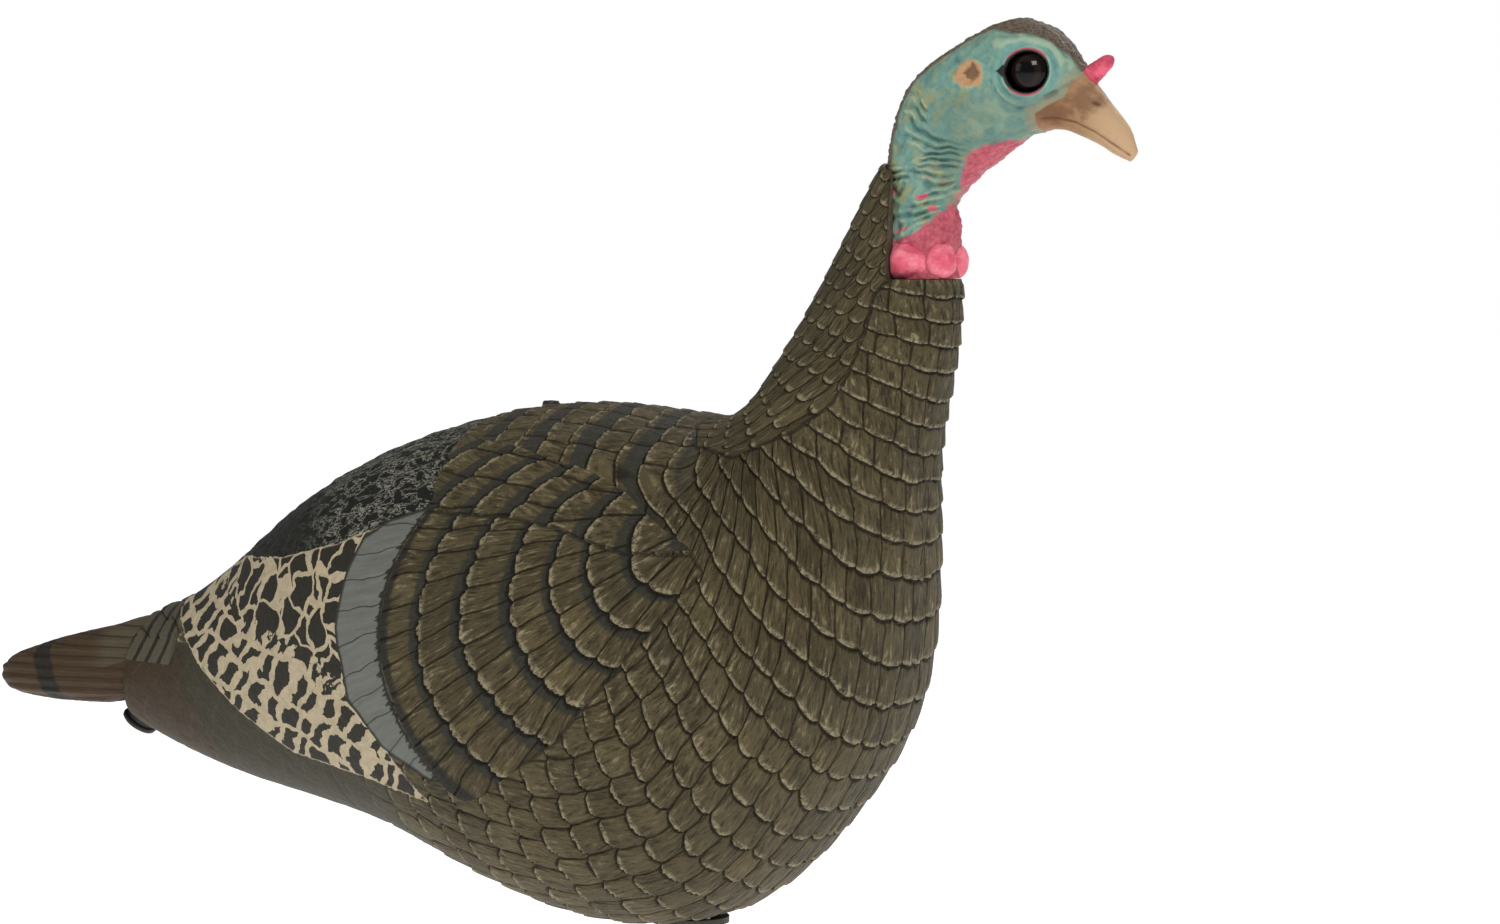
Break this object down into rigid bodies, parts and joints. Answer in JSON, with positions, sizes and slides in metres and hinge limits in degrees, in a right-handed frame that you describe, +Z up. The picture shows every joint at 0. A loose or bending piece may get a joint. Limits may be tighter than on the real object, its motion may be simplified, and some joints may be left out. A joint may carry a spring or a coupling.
{
  "type": "turkey decoy",
  "caption": "Hen turkey decoy: hollow feather-textured body in two shells with a tail insert and a push-in head, free to turn on a two-piece ground stake.",
  "frame": {"origin": "on the ground stake's axis at ground level, where the stake enters the soil", "axes": "+X is the way the hen's body faces, +Y its left side, +Z up along the stake"},
  "size_m": [0.618, 0.2168, 0.8193],
  "materials": {
    "stake_paint": "satin grey-green paint, scuffed",
    "zinc_steel": "zinc plated",
    "inner_plastic": "matte moulded plastic",
    "bushing_plastic": "matte moulded plastic",
    "body_plumage": "moulded feather relief, painted olive brown with charcoal, grey and cream bands",
    "tail_plumage": "moulded feather relief, painted brown with black bars",
    "plug_rubber": "matte black rubber",
    "head_skin": "soft vinyl, painted blue-green with pink wattles, brown crown and horn beak",
    "eye_gloss": "polished black"
  },
  "bodies": {
    "ground_stake": {"ground_spike": "stake_paint", "foot_step": "stake_paint", "stake_coupler": "stake_paint", "coupler_rivet": "zinc_steel"},
    "upper_stake": {"upper_stake": "stake_paint", "pivot_tip": "inner_plastic"},
    "decoy_body": {"belly_bushing": "bushing_plastic", "belly_screws": "zinc_steel", "pivot_tube": "inner_plastic", "thrust_pad": "inner_plastic", "body_shell_left": "body_plumage", "body_shell_right": "body_plumage", "neck_socket": "inner_plastic", "tail_fan": "tail_plumage", "back_plug": "plug_rubber"},
    "head": {"head_shell": "head_skin", "head_plug": "inner_plastic", "left_eye": "eye_gloss", "right_eye": "eye_gloss"},
    "vent_plug": {"vent_plug": "plug_rubber"}
  },
  "joints": [
    {"name": "stake_lift", "type": "slide", "parent": "ground_stake", "child": "upper_stake", "axis": [0, 0, 1], "range_m": [0, 0.035]},
    {"name": "body_swivel", "type": "hinge", "parent": "upper_stake", "child": "decoy_body", "pos_m": [0, 0, 0.3], "axis": [0, 0, 1], "continuous": true},
    {"name": "head_pull", "type": "slide", "parent": "decoy_body", "child": "head", "axis": [0, 0, 1], "range_m": [0, 0.04]},
    {"name": "vent_plug_pull", "type": "slide", "parent": "decoy_body", "child": "vent_plug", "axis": [-0.6, 0, -0.8], "range_m": [0, 0.014]}
  ]
}
